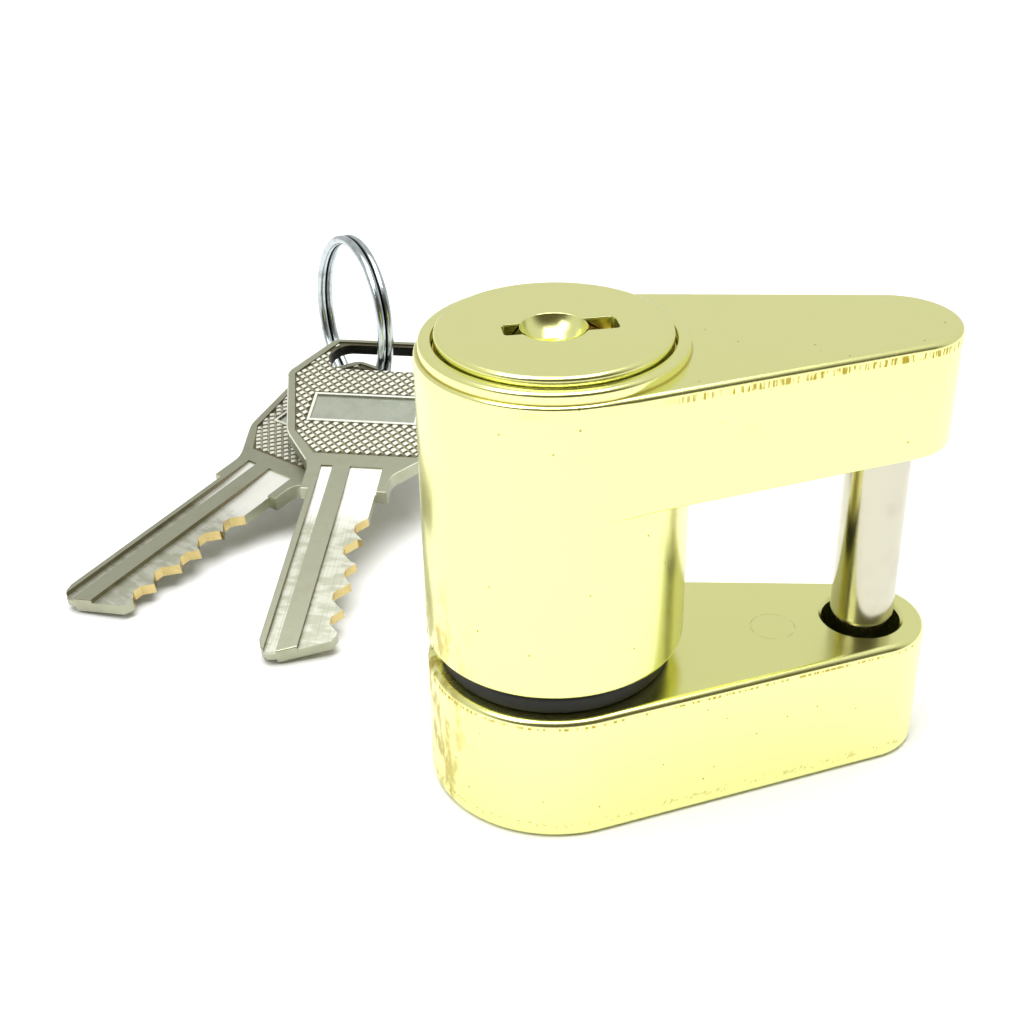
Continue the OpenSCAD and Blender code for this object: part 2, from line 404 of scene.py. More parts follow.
    def install(self, node: str, slot: str) -> bpy.types.Object:
        """Lets the piece stand for a CAD node and move with that node's body.

        Args:
            node: the CAD node that it replaces.
            slot: the record's material slot; not used.

        Returns:
            The finished object.
        """
        self.rest()
        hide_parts(node)
        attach(self.obj, body_of_node(node))
        LOG.info("%s stands for %s, %d faces", self.obj.name, node, len(self.obj.data.polygons))
        return self.obj


def body_of_node(node: str) -> str:
    """Returns the name of the body that a CAD node belongs to."""
    return frame["nodes"][node]["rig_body"]


# ---------------------------------------------------------------- shading


class Signal:
    """A number that changes over a surface; arithmetic on it adds Math nodes."""

    def __init__(self, graph: "Graph", socket: bpy.types.NodeSocket) -> None:
        """Wraps an output socket of a graph."""
        self.graph, self.socket = graph, socket

    def _math(self, operation: str, *values: Any) -> "Signal":
        """Adds one Math node on the given values and returns its result."""
        settings = {"operation": operation}
        node = self.graph.node("ShaderNodeMath", settings, dict(enumerate(values)))
        return Signal(self.graph, node.outputs[0])

    def __add__(self, other: Any) -> "Signal":
        """Adds."""
        return self._math("ADD", self, other)

    __radd__ = __add__

    def __sub__(self, other: Any) -> "Signal":
        """Subtracts."""
        return self._math("SUBTRACT", self, other)

    def __rsub__(self, other: Any) -> "Signal":
        """Subtracts this from a number."""
        return self._math("SUBTRACT", other, self)

    def __mul__(self, other: Any) -> "Signal":
        """Multiplies."""
        return self._math("MULTIPLY", self, other)

    __rmul__ = __mul__

    def __abs__(self) -> "Signal":
        """Gives the size without the sign."""
        return self._math("ABSOLUTE", self)

    def __pow__(self, power: float) -> "Signal":
        """Raises to a power."""
        return self._math("POWER", self, power)

    def above(self, low: float, high: float) -> "Signal":
        """Rises smoothly from 0 at one level to 1 at a higher one."""
        settings = {"interpolation_type": "SMOOTHSTEP", "clamp": True}
        values = {"Value": self, "From Min": low, "From Max": high}
        node = self.graph.node("ShaderNodeMapRange", settings, values)
        return Signal(self.graph, node.outputs["Result"])

    def band(self, low: float, high: float, edge: float) -> "Signal":
        """Is 1 between two levels and fades to 0 over an edge on both sides."""
        return self.above(low - edge, low + edge) * (1 - self.above(high - edge, high + edge))


class Graph:
    """The node tree of one finish or of the surroundings."""

    def __init__(self, tree: bpy.types.NodeTree) -> None:
        """Empties a node tree and takes it over."""
        self.tree = tree
        tree.nodes.clear()

    def node(
        self,
        kind: str,
        settings: dict[str, Any] | None = None,
        values: dict[Any, Any] | None = None,
    ) -> bpy.types.Node:
        """Adds a node.

        Args:
            kind: the node's type.
            settings: its properties, set first.
            values: numbers, colours, sockets or signals for its sockets.

        Returns:
            The new node.
        """
        made = self.tree.nodes.new(kind)
        for key, value in (settings or {}).items():
            setattr(made, key, value)
        for key, value in (values or {}).items():
            if isinstance(value, Signal):
                value = value.socket
            if isinstance(value, bpy.types.NodeSocket):
                self.tree.links.new(value, made.inputs[key])
            elif isinstance(value, tuple) and made.inputs[key].type == "RGBA":
                made.inputs[key].default_value = (*value, 1.0)
            else:
                made.inputs[key].default_value = value
        return made

    def place(self, turn: Matrix | None = None) -> bpy.types.NodeSocket:
        """Gives the surface point in millimetres, in a piece's own directions if it lies turned.

        Args:
            turn: where a turned piece lies, as the matrix that took it there.

        Returns:
            A vector socket.
        """
        point = self.node("ShaderNodeTexCoord").outputs["Object"]
        back = (turn or Matrix.Identity(4)).inverted()
        values = {
            "Vector": point,
            "Location": back.to_translation() / MM,
            "Rotation": back.to_euler(),
            "Scale": (1 / MM,) * 3,
        }
        return self.node("ShaderNodeMapping", {"vector_type": "POINT"}, values).outputs[0]

    def axes(self, point: bpy.types.NodeSocket) -> tuple[Signal, Signal, Signal]:
        """Splits a point into its three coordinates."""
        split = self.node("ShaderNodeSeparateXYZ", None, {"Vector": point})
        return tuple(Signal(self, out) for out in split.outputs)

    def stretched(self, point: bpy.types.NodeSocket, by: Triple) -> bpy.types.NodeSocket:
        """Multiplies a point by a factor for each direction."""
        settings = {"operation": "MULTIPLY"}
        return self.node("ShaderNodeVectorMath", settings, {0: point, 1: by}).outputs[0]

    def noise(self, point: bpy.types.NodeSocket, size: float, detail: float = 2.0) -> Signal:
        """Gives cloudy noise from 0 to 1 with patches of about a size in millimetres."""
        values = {"Vector": point, "Scale": 1 / size, "Detail": detail, "Roughness": 0.55}
        return Signal(self, self.node("ShaderNodeTexNoise", None, values).outputs["Fac"])

    def pits(self, point: bpy.types.NodeSocket, spacing: float, share: float, radius: float) -> Signal:
        """Gives scattered round specks, 1 in a speck and 0 between them.

        Args:
            point: the surface point.
            spacing: distance between neighbouring places, in millimetres.
            share: share of the places that have a speck.
            radius: a speck's radius as a share of the spacing.

        Returns:
            The specks.
        """
        cells = self.node("ShaderNodeTexVoronoi", None, {"Vector": point, "Scale": 1 / spacing})
        chance = self.axes(cells.outputs["Color"])[0]
        near = 1 - Signal(self, cells.outputs["Distance"]).above(radius * 0.4, radius)
        return near * chance.above(1 - share, 1 - share + 0.02)

    def mix(self, amount: Signal, first: Any, second: Any) -> bpy.types.NodeSocket:
        """Mixes two colours by an amount from 0 to 1."""
        settings = {"data_type": "RGBA", "blend_type": "MIX", "clamp_factor": True}
        return self.node("ShaderNodeMix", settings, {0: amount, 6: first, 7: second}).outputs[2]

    def bump(self, height: Signal) -> bpy.types.NodeSocket:
        """Turns a height in millimetres into a normal."""
        values = {"Height": height, "Distance": MM, "Strength": 1.0}
        return self.node("ShaderNodeBump", None, values).outputs["Normal"]

    def metal(self, colour: Any, roughness: Any, normal: Any, metallic: Any = 1.0) -> None:
        """Ends the graph in a surface shader.

        Args:
            colour: base colour.
            roughness: roughness, a number or a signal.
            normal: the bumped normal.
            metallic: 1 for bare metal, less under dirt.
        """
        values = {"Base Color": colour, "Roughness": roughness}
        values |= {"Metallic": metallic, "Normal": normal}
        shader = self.node("ShaderNodeBsdfPrincipled", None, values)
        self.node("ShaderNodeOutputMaterial", None, {"Surface": shader.outputs[0]})


@dataclass(frozen=True)
class Finish:
    """A surface finish that is made into a material once."""

    name: str

    def material(self) -> bpy.types.Material:
        """Returns the finish's material, made on first use."""
        known = bpy.data.materials.get(self.name)
        if known:
            return known
        made = bpy.data.materials.new(self.name)
        made.use_nodes = True
        self.draw(Graph(made.node_tree))
        return made

    def draw(self, graph: Graph) -> None:
        """Adds the finish's nodes to an empty graph."""
        raise NotImplementedError


@dataclass(frozen=True)
class GoldPlating(Finish):
    """Thin yellow plating over a die casting: rippled, finely pitted and stained in places, with painted
    dark reflections in patches low on the left.

    Marks are asked for by their place: a ragged brown line at a rim that is a painted reflection, a rough
    line at a foot, a painted shade line round the collar's foot, the ring that an ejector left, and a
    painted darker reflection on the flank at the right.
    """

    colour: Colour = (0.93, 0.94, 0.40)
    tarnish_and_painted_shade: Colour = (0.45, 0.34, 0.045)
    ripple: float = 0.011
    speck_share: float = 0.10
    roughness: float = 0.17
    rim_painted_reflection: float | None = None
    rim_painted_reflection_from: float = -20.0
    rim_painted_reflection_height: float = 0.7
    foot_line: float | None = None
    collar_foot_painted_shade: float | None = None
    ejector_at: Point | None = None
    painted_reflection_flank_below: float | None = None
    wave_size: float = 5.5
    peel_size: float = 0.45
    cloud_size: float = 4.0
    speck_spacing: float = 1.1
    painted_reflection_across: Span = (-12.6, -8.0)
    painted_reflection_height: Span = (16.0, 34.0)
    painted_reflection_size: float = 1.6
    painted_reflection_flank_across: Span = (9.8, 12.6)
    painted_reflection_flank_fade: float = 3.0
    rim_painted_reflection_fade: float = 5.0
    collar_foot_shade_radius: Span = (12.25, 12.5)
    ejector_radius: Span = (2.2, 2.3)

    def draw(self, graph: Graph) -> None:
        """Adds plating, stains, pits, the painted reflections and painted shade, and the lines along the
        edges.
        """
        at = graph.place()
        x, y, z = graph.axes(at)
        waves = graph.noise(at, self.wave_size, 1.0)
        peel = graph.noise(at, self.peel_size, 2.0)
        cloud = graph.noise(graph.stretched(at, (1.0, 1.0, 0.55)), self.cloud_size, 4.0)
        specks = graph.pits(at, self.speck_spacing, self.speck_share, 0.16)
        stain = cloud.above(0.60, 0.85) * 0.22
        # painted dark reflection: mottled darker patches low on the left side of the barrel and base
        left = (1 - x.above(*self.painted_reflection_across)) * (1 - z.above(*self.painted_reflection_height))
        painted_reflection_runs = graph.noise(graph.stretched(at, (1.0, 1.0, 0.5)), self.painted_reflection_size, 4.0)
        patch = left * painted_reflection_runs.above(0.40, 0.62)
        dirt_and_painted_shade = stain + patch * 0.75 + specks * 0.75
        # painted reflection: the barrel's right flank below the arm is mixed toward the darker ochre
        if self.painted_reflection_flank_below is not None:
            under = 1 - z.above(self.painted_reflection_flank_below - self.painted_reflection_flank_fade, self.painted_reflection_flank_below)
            dirt_and_painted_shade = dirt_and_painted_shade + x.above(*self.painted_reflection_flank_across) * under * 0.5
        height = waves * self.ripple + peel * 0.0006 - specks * 0.02
        # painted reflection: a ragged dark line along the rounded rim, strongest from a given x on, standing
        # in for the dark near side of the room; the bump that roughens it is relief
        if self.rim_painted_reflection is not None:
            half = self.rim_painted_reflection_height / 2
            line = z.band(self.rim_painted_reflection - half, self.rim_painted_reflection + half, 0.15)
            ticks = graph.noise(graph.stretched(at, (1.0, 1.0, 0.15)), 0.3, 2.0).above(0.44, 0.60)
            strong = x.above(self.rim_painted_reflection_from, self.rim_painted_reflection_from + self.rim_painted_reflection_fade)
            ragged = line * (ticks * strong + cloud.above(0.35, 0.7) * 0.25)
            dirt_and_painted_shade, height = dirt_and_painted_shade + ragged * 0.8, height - ragged * 0.025
        if self.foot_line is not None:
            rough = z.band(self.foot_line - 0.5, self.foot_line + 0.4, 0.3) * peel.above(0.52, 0.66)
            dirt_and_painted_shade, height = dirt_and_painted_shade + rough * 0.45, height - rough * 0.03
        # painted shade: a thin dark line in the crease at the collar's foot
        if self.collar_foot_painted_shade is not None:
            radius = (x * x + y * y) ** 0.5
            collar_foot_shade_band = z.band(self.collar_foot_painted_shade - 0.1, self.collar_foot_painted_shade + 0.2, 0.1)
            dirt_and_painted_shade = dirt_and_painted_shade + radius.band(*self.collar_foot_shade_radius, 0.08) * collar_foot_shade_band * 0.5
        if self.ejector_at is not None:
            across, along = x - self.ejector_at[0], y - self.ejector_at[1]
            mark = ((across * across + along * along) ** 0.5).band(*self.ejector_radius, 0.07)
            broken = graph.noise(at, 1.2).above(0.35, 0.6)
            dirt_and_painted_shade, height = dirt_and_painted_shade + mark * broken * 0.6, height - mark * 0.02
        # the ochre mix carries real stains together with the painted reflections and painted shade
        colour = graph.mix(dirt_and_painted_shade.above(0.0, 1.0), self.colour, self.tarnish_and_painted_shade)
        rough_all = self.roughness + graph.noise(at, 2.2, 3.0) * 0.10 + dirt_and_painted_shade.above(0.0, 1.0) * 0.18
        graph.metal(colour, rough_all, graph.bump(height))


@dataclass(frozen=True)
class TurnedSteel(Finish):
    """Bright steel that was turned and polished, with fine rings round its axis and a few specks."""

    colour: Colour = (0.58, 0.56, 0.45)
    roughness: float = 0.10
    rings: float = 0.0006

    def draw(self, graph: Graph) -> None:
        """Adds rings, haze and specks."""
        at = graph.place()
        fine = graph.noise(graph.stretched(at, (0.25, 0.25, 6.0)), 1.0, 3.0)
        haze = graph.noise(at, 3.0, 3.0)
        specks = graph.pits(at, 0.9, 0.07, 0.16)
        colour = graph.mix(haze.above(0.45, 0.8) * 0.35 + specks * 0.6, self.colour, (0.42, 0.38, 0.32))
        height = fine * self.rings - specks * 0.01
        graph.metal(colour, self.roughness + haze * 0.12, graph.bump(height))


@dataclass(frozen=True)
class SatinNickel(Finish):
    """Dull nickel plate with a fine random grain."""

    colour: Colour = (0.41, 0.42, 0.31)
    worn: Colour = (0.31, 0.31, 0.22)
    roughness: float = 0.28
    grain: float = 0.0016

    def draw(self, graph: Graph) -> None:
        """Adds grain, rubbed patches and a few specks."""
        at = graph.place()
        grain = graph.noise(at, 0.18, 3.0)
        rubbed = graph.noise(at, 2.6, 4.0)
        specks = graph.pits(at, 0.8, 0.06, 0.18)
        colour = graph.mix(rubbed.above(0.42, 0.75) * 0.45 + specks * 0.5, self.colour, self.worn)
        height = grain * self.grain - specks * 0.008
        graph.metal(colour, self.roughness + rubbed * 0.14, graph.bump(height))


@dataclass(frozen=True)
class MilledNickel(Finish):
    """The floor of a milled groove, with marks across it where the cutter chattered; its near-white colour
    is a painted highlight on the ramp, and the blade below the ramp is painted darker.
    """

    lies: tuple[tuple[float, ...], ...] = ()
    colour: Colour = (0.98, 0.98, 0.90)
    dull_and_painted_shade: Colour = (0.44, 0.45, 0.34)
    roughness: float = 0.34
    ramp_from: float = -1.5

    def draw(self, graph: Graph) -> None:
        """Adds chatter marks across the blade, fine lines along it and the painted highlight that fades from
        the ramp into the darker blade.
        """
        at = graph.place(Matrix(self.lies))
        _, along, _ = graph.axes(at)
        chatter = graph.noise(graph.stretched(at, (0.3, 0.9, 0.16)), 1.0, 3.0)
        lines = graph.noise(graph.stretched(at, (4.0, 0.10, 1.0)), 1.0, 2.0)
        # painted highlight and shade: the ramp keeps the near-white colour, the blade below it is mixed
        # toward the dull colour
        blade = 1 - along.above(self.ramp_from - 6, self.ramp_from)
        marks = chatter.above(0.42, 0.62) * blade * 0.25 + lines.above(0.5, 0.75) * 0.25 + blade * 0.6
        colour = graph.mix(marks.above(0.0, 1.0), self.colour, self.dull_and_painted_shade)
        height = chatter * blade * 0.012 + lines * 0.004
        graph.metal(colour, self.roughness + lines * 0.12, graph.bump(height))


@dataclass(frozen=True)
class PlainMetal(Finish):
    """A metal with a fine grain, a haze and a few specks, for brass, wire and stampings."""

    colour: Colour
    worn: Colour
    roughness: float = 0.28
    grain: float = 0.0015
    patch: float = 2.5

    def draw(self, graph: Graph) -> None:
        """Adds grain, haze and specks."""
        at = graph.place()
        grain = graph.noise(at, 0.22, 3.0)
        haze = graph.noise(at, self.patch, 3.0)
        specks = graph.pits(at, 0.9, 0.05, 0.16)
        colour = graph.mix(haze.above(0.40, 0.80) * 0.6 + specks * 0.4, self.colour, self.worn)
        graph.metal(colour, self.roughness + haze * 0.15, graph.bump(grain * self.grain - specks * 0.008))


@dataclass(frozen=True)
class Rubber(Finish):
    """Black moulded rubber with a dusty bloom."""

    colour: Colour = (0.004, 0.004, 0.004)
    bloom: Colour = (0.014, 0.014, 0.012)

    def draw(self, graph: Graph) -> None:
        """Adds a grain and the bloom."""
        at = graph.place()
        dust = graph.noise(at, 1.8, 4.0)
        colour = graph.mix(dust.above(0.5, 0.85), self.colour, self.bloom)
        graph.metal(colour, 0.5 + dust * 0.2, graph.bump(graph.noise(at, 0.3, 2.0) * 0.004), 0.0)


# ---------------------------------------------------------------- the lock


@dataclass
class DropOutline:
    """The outline that the arm and the base share: two circles joined by their outer tangents."""

    wide: float
    narrow: float
    distance: float

    @classmethod
    def of_node(cls, node: str) -> "DropOutline":
        """Reads the outline off a casting's CAD node and the pin's axis."""
        low, high = node_box(node)
        pin_low, pin_high = node_box("shackle_pin")
        axis = (pin_low.x + pin_high.x) / 2
        return cls(-low.x, high.x - axis, axis)

    @property
    def split(self) -> float:
        """Angle from the long axis at which the tangents touch, in radians."""
        return math.acos((self.wide - self.narrow) / self.distance)

    def is_front(self, point: Vector) -> bool:
        """Tells if a point on the wide circle belongs to the narrow end once it is drawn out."""
        return abs(math.atan2(point.y, point.x)) < self.split

    def draw_out(self, piece: Workpiece, only_selected: bool) -> None:
        """Moves the front of a round rim out to the narrow end.

        Args:
            piece: the workpiece whose rim is moved.
            only_selected: limits it to the rim that is selected now.
        """
        piece.pick(Part.VERTS, lambda v: (v.select or not only_selected) and self.is_front(v.co))
        piece.scale(self.narrow / self.wide)
        piece.move((self.distance, 0, 0))

    def draw_in(self, piece: Workpiece) -> None:
        """Takes the narrow end of the selected rim back to the wide circle."""
        shift = Vector((self.distance * MM, 0, 0))
        nearest = 0.4 * self.distance * MM
        piece.pick(
            Part.VERTS,
            lambda v: v.select and self.is_front(v.co - shift) and v.co.x > nearest,
        )
        piece.move((-self.distance, 0, 0))
        piece.scale(self.wide / self.narrow)


@dataclass
class LockBody:
    """The upper casting: barrel, collar with its recess, and the arm that carries the pin."""

    plating: Finish
    arm_thickness: float = 11.6
    collar_height: float = 1.1
    collar_radius: float = 12.3
    recess_radius: float = 11.1
    lower_bore: float = 9.5
    tail_hole: float = 5.0
    floor: float = 1.8
    shell_step: float = 5.0
    arm_rounding: float = 0.55
    arm_lip_rounding: float = 0.35
    foot_rounding: float = 0.6
    tail_hole_rounding: float = 0.3
    collar_rounding: float = 0.4
    recess_rounding: float = 0.15
    fillet: float = 1.1
    pin_hole: float = 2.925
    pin_hole_depth: float = 9.0
    sides: int = 128
    hole_sides: int = 64
    long_edge: float = 15.0
    long_edge_cuts: int = 11
    low: Vector = field(init=False)
    high: Vector = field(init=False)
    outline: DropOutline = field(init=False)

    def __post_init__(self) -> None:
        """Takes the overall places from the CAD nodes."""
        self.low, self.high = node_box("lock_body")
        self.outline = DropOutline.of_node("lock_body")

    @property
    def arm_top(self) -> float:
        """Height of the arm's top face."""
        return self.high.z - self.collar_height

    @property
    def arm_low(self) -> float:
        """Height of the arm's underside."""
        return self.arm_top - self.arm_thickness

    def cap(self, piece: Workpiece, height: float) -> None:
        """Selects the round end face at a height."""
        piece.pick(
            Part.FACES,
            lambda f: len(f.verts) >= self.sides and is_level(f, height) and f.normal.z > -0.5,
        )

    def shape(self) -> Workpiece:
        """Shapes the casting from a cylinder, ring by ring, and returns it."""
        wide = self.outline.wide
        piece = Workpiece.cylinder("gold_body", wide, self.low.z, self.arm_low, sides=self.sides)
        self.cap(piece, self.arm_low)
        piece.extrude()
        self.outline.draw_out(piece, True)
        self.cap(piece, self.arm_low)
        piece.extrude((0, 0, self.arm_thickness))
        piece.extrude()
        self.outline.draw_in(piece)
        self.cap(piece, self.arm_top)
        piece.scale(self.collar_radius / wide)
        piece.extrude((0, 0, self.collar_height))
        radius = self.collar_radius
        shell = self.low.z + self.floor + self.shell_step
        for new_radius, depth in (
            (self.recess_radius, self.high.z - shell),
            (self.lower_bore, self.shell_step),
            (self.tail_hole, self.floor),
        ):
            piece.extrude()
            piece.scale(new_radius / radius)
            piece.extrude((0, 0, -depth))
            radius = new_radius
        piece.pick(Part.FACES, lambda f: len(f.verts) >= self.sides and is_level(f, self.low.z))
        bpy.ops.mesh.delete(type="ONLY_FACE")
        piece.pick(Part.EDGES, lambda e: len(e.link_faces) == 1)
        bpy.ops.mesh.bridge_edge_loops()
        piece.close_up()
        return piece

    def merge_flats(self, piece: Workpiece) -> None:
        """Makes whole faces of the arm's two flats and divides its straight edges."""
        piece.pick(Part.FACES, lambda f: is_level(f, self.arm_low) and f.normal.z < -0.9)
        bpy.ops.mesh.dissolve_faces()
        for side in (1, -1):
            piece.pick(
                Part.FACES,
                lambda f: is_level(f, self.arm_top) and f.normal.z > 0.9 and middle(f).y * side > 0,
            )
            bpy.ops.mesh.dissolve_faces()
        piece.pick(
            Part.EDGES,
            lambda e: e.calc_length() > self.long_edge * MM
            and abs(middle(e).y) > 5
            and (is_level(e, self.arm_low) or is_level(e, self.arm_top)),
        )
        bpy.ops.mesh.subdivide(number_cuts=self.long_edge_cuts)

    def rounding(self, edge: Any) -> float:
        """Gives the width that an edge of the casting is rounded to, in millimetres."""
        point = middle(edge)
        radius = math.hypot(point.x, point.y)
        wide = self.outline.wide
        outside = radius > wide * 0.99
        level = edge.verts[0].co.z / MM
        if math.hypot(point.x - self.outline.distance, point.y) < self.pin_hole + 0.1:
            return 0.0
        if all(is_level(face, level) for face in edge.link_faces):
            return 0.0
        if is_level(edge, self.arm_top) and outside:
            return min(self.arm_rounding, 0.85 * (radius - self.collar_radius))
        if is_level(edge, self.arm_low) and outside:
            on_barrel = all(abs(math.hypot(v.co.x, v.co.y) / MM - wide) < 0.01 for v in edge.verts)
            if not on_barrel:
                return min(self.arm_lip_rounding, 0.25 * (radius - wide))
            spare = self.outline.split - abs(math.atan2(point.y, point.x))
            return min(self.fillet, 0.8 * wide * (1 - math.cos(spare))) if spare > 0 else 0.0
        if is_level(edge, self.low.z):
            return self.foot_rounding if radius > self.tail_hole + 1 else self.tail_hole_rounding
        if is_level(edge, self.high.z):
            on_collar = radius > self.recess_radius + 0.5
            return self.collar_rounding if on_collar else self.recess_rounding
        return 0.0

    def build(self) -> bpy.types.Object:
        """Builds and dresses the casting and returns it."""
        piece = self.shape()
        self.merge_flats(piece)
        hole_top = self.arm_low + self.pin_hole_depth
        axis = (self.outline.distance, 0)
        drill = Workpiece.cylinder(
            "drill", self.pin_hole, self.arm_low - 2, hole_top, axis, self.hole_sides
        )
        piece.combine(drill)
        piece.round_edges(self.rounding, self.fillet)
        piece.smooth()
        piece.dress(self.plating)
        return piece.install("lock_body", "gold_plate")


@dataclass
class BasePlate:
    """The lower casting, with the pocket for the keeper, the tail's slot and the pin's hole."""

    plating: Finish
    top_rounding: float = 0.75
    foot_rounding: float = 0.7
    pocket_radius: float = 9.4
    pocket_depth: float = 9.6
    slot_radius: float = 7.9
    slot_half_width: float = 4.2
    pin_hole: float = 4.0
    pin_hole_floor: float = 3.0
    lip_foot: Point = (-0.2, -0.5)
    lip_head: Point = (0.6, 0.3)
    sides: int = 160
    hole_sides: int = 96

    def slot_tool(self, low: float, high: float) -> Workpiece:
        """Makes the cutter for the tail's slot: a disc with two sides cut flat."""
        tool = Workpiece.cylinder("slot_cutter", self.slot_radius, low, high, sides=self.hole_sides)
        for side in (1, -1):
            tool.pick(Part.FACES, lambda f: True)
            bpy.ops.mesh.bisect(
                plane_co=(0, side * self.slot_half_width * MM, 0),
                plane_no=(0, side, 0),
                use_fill=True,
                clear_outer=True,
            )
        tool.close_up()
        return tool

    def build(self) -> bpy.types.Object:
        """Builds and dresses the base and returns it."""
        low, high = node_box("base_plate")
        outline = DropOutline.of_node("base_plate")
        axis = (outline.distance, 0)
        piece = Workpiece.cylinder("gold_base", outline.wide, low.z, high.z, sides=self.sides)
        outline.draw_out(piece, False)
        piece.pick(Part.EDGES, lambda e: is_level(e, high.z))
        piece.bevel(self.top_rounding, 5)
        piece.pick(Part.EDGES, lambda e: is_level(e, low.z))
        piece.bevel(self.foot_rounding, 4)
        piece.combine(
            Workpiece.cylinder("pocket", self.pocket_radius, low.z - 1, low.z + self.pocket_depth)
        )
        piece.combine(self.slot_tool(low.z + self.pocket_depth - 1, high.z + 1))
        drill = Workpiece.cylinder(
            "drill", self.pin_hole, self.pin_hole_floor, high.z + 1, axis, self.hole_sides
        )
        piece.combine(drill)
        (foot_out, foot_up), (head_out, head_up) = self.lip_foot, self.lip_head
        lip = Workpiece.cylinder(
            "lip",
            self.pin_hole + foot_out,
            high.z + foot_up,
            high.z + head_up,
            axis,
            self.hole_sides,
            self.pin_hole + head_out,
        )
        piece.combine(lip)
        piece.close_up()
        piece.smooth()
        piece.dress(self.plating)
        return piece.install("base_plate", "gold_plate")


@dataclass
class ShacklePin:
    """The plain steel pin: thinner where it is pressed into the arm and where it enters the base."""

    steel: Finish
    press_radius: float = 2.925
    press_length: float = 9.0
    press_rounding: float = 0.15
    tip_radius: float = 2.9
    tip_rounding: float = 0.8
    tip_shows: float = 0.4
    tip_slope: float = 0.6
    sides: int = 96

    def build(self) -> bpy.types.Object:
        """Builds and dresses the pin and returns it."""
        low, high = node_box("shackle_pin")
        shank = (high.x - low.x) / 2
        at = ((low.x + high.x) / 2, 0.0)
        shoulder = high.z - self.press_length
        neck_at = node_box("base_plate")[1].z + self.tip_shows
        piece = Workpiece.cylinder("steel_pin", self.tip_radius, low.z, neck_at, at, self.sides)
        radius = self.tip_radius
        for new_radius, rise in (
            (shank, self.tip_slope),
            (shank, shoulder - neck_at - self.tip_slope),
        ):
            piece.pick(Part.FACES, lambda f: len(f.verts) >= self.sides and f.normal.z > 0.9)
            piece.extrude((0, 0, rise))
            piece.scale(new_radius / radius, at)
            radius = new_radius
        piece.extrude()
        piece.scale(self.press_radius / radius, at)
        piece.extrude((0, 0, self.press_length))
        piece.pick(Part.EDGES, lambda e: is_level(e, low.z))
        piece.bevel(self.tip_rounding, 4)
        piece.pick(Part.EDGES, lambda e: is_level(e, high.z))
        piece.bevel(self.press_rounding, 2)
        piece.close_up()
        piece.smooth()
        piece.dress(self.steel)
        return piece.install("shackle_pin", "pin_steel")


@dataclass
class FaceDisc:
    """The round face over the cylinder: a chamfered disc with a polished dish between two slot ends."""

    plating: Finish
    chamfer: float = 0.45
    dish_radius: float = 3.05
    dish_depth: float = 2.2
    boss_wall: float = 0.05
    boss_floor: float = 0.25
    rim_rounding: float = 0.22
    slot_rounding: float = 0.35
    keyhole_reach: float = 6.5
    slots: tuple[tuple[Point, Point], ...] = (
        ((-4.6, -1.05), (0.0, 1.15)),
        ((0.0, -1.2), (5.8, 1.3)),
    )
    sides: int = 160
    boss_sides: int = 96

    def build(self) -> bpy.types.Object:
        """Builds and dresses the face and returns it."""
        low, high = node_box("face_disc")
        top = high.z
        piece = Workpiece.cylinder("gold_face", high.x, low.z, top, sides=self.sides)
        for (x0, y0), (x1, y1) in self.slots:
            tool = Workpiece.block("slot_cutter", (x0, y0, low.z - 1), (x1, y1, top + 1))
            tool.pick(Part.EDGES, lambda e: is_upright(e) and abs(middle(e).x) > 0.1)
            tool.bevel(self.slot_rounding, 3)
            tool.rest()
            piece.combine(tool)
        boss_radius = self.dish_radius + self.boss_wall
        boss_foot = top - self.dish_depth - self.boss_floor
        boss = Workpiece.cylinder("boss", boss_radius, boss_foot, top - 0.01, sides=self.boss_sides)
        piece.combine(boss, Cut.JOIN)
        ball = (self.dish_radius**2 + self.dish_depth**2) / (2 * self.dish_depth)
        piece.combine(Workpiece.ball("dish", ball, (0, 0, top + ball - self.dish_depth)))
        piece.pick(Part.EDGES, lambda e: is_level(e, top) and middle(e).xy.length > high.x - 0.1)
        piece.bevel(self.chamfer, 3)
        piece.pick(
            Part.EDGES,
            lambda e: is_level(e, top)
            and middle(e).xy.length < self.keyhole_reach
            and not all(is_level(f, top) for f in e.link_faces),
        )
        piece.bevel(self.rim_rounding, 2)
        piece.close_up()
        piece.smooth(40.0)
        piece.dress(self.plating)
        return piece.install("face_disc", "gold_plate")


@dataclass
class RubberWasher:
    """The rattle washer in the gap, with its outer edges rounded."""

    rubber: Finish
    hole_radius: float = 8.2
    rounding: float = 0.5

    def build(self) -> bpy.types.Object:
        """Builds and dresses the washer and returns it."""
        low, high = node_box("rattle_washer")
        piece = Workpiece.cylinder("gap_washer", high.x, low.z, high.z, sides=128)
        piece.combine(Workpiece.cylinder("bore", self.hole_radius, low.z - 1, high.z + 1))
        piece.pick(
            Part.EDGES,
            lambda e: (is_level(e, low.z) or is_level(e, high.z))
            and abs(middle(e).xy.length - high.x) < 0.1,
        )
        piece.bevel(self.rounding, 4)
        piece.close_up()
        piece.smooth()
        piece.dress(self.rubber)
        return piece.install("rattle_washer", "rubber")


# ---------------------------------------------------------------- keys and ring


@dataclass
class Face:
    """A face's centre and normal in a key's own directions."""

    center: Vector
    normal: Vector


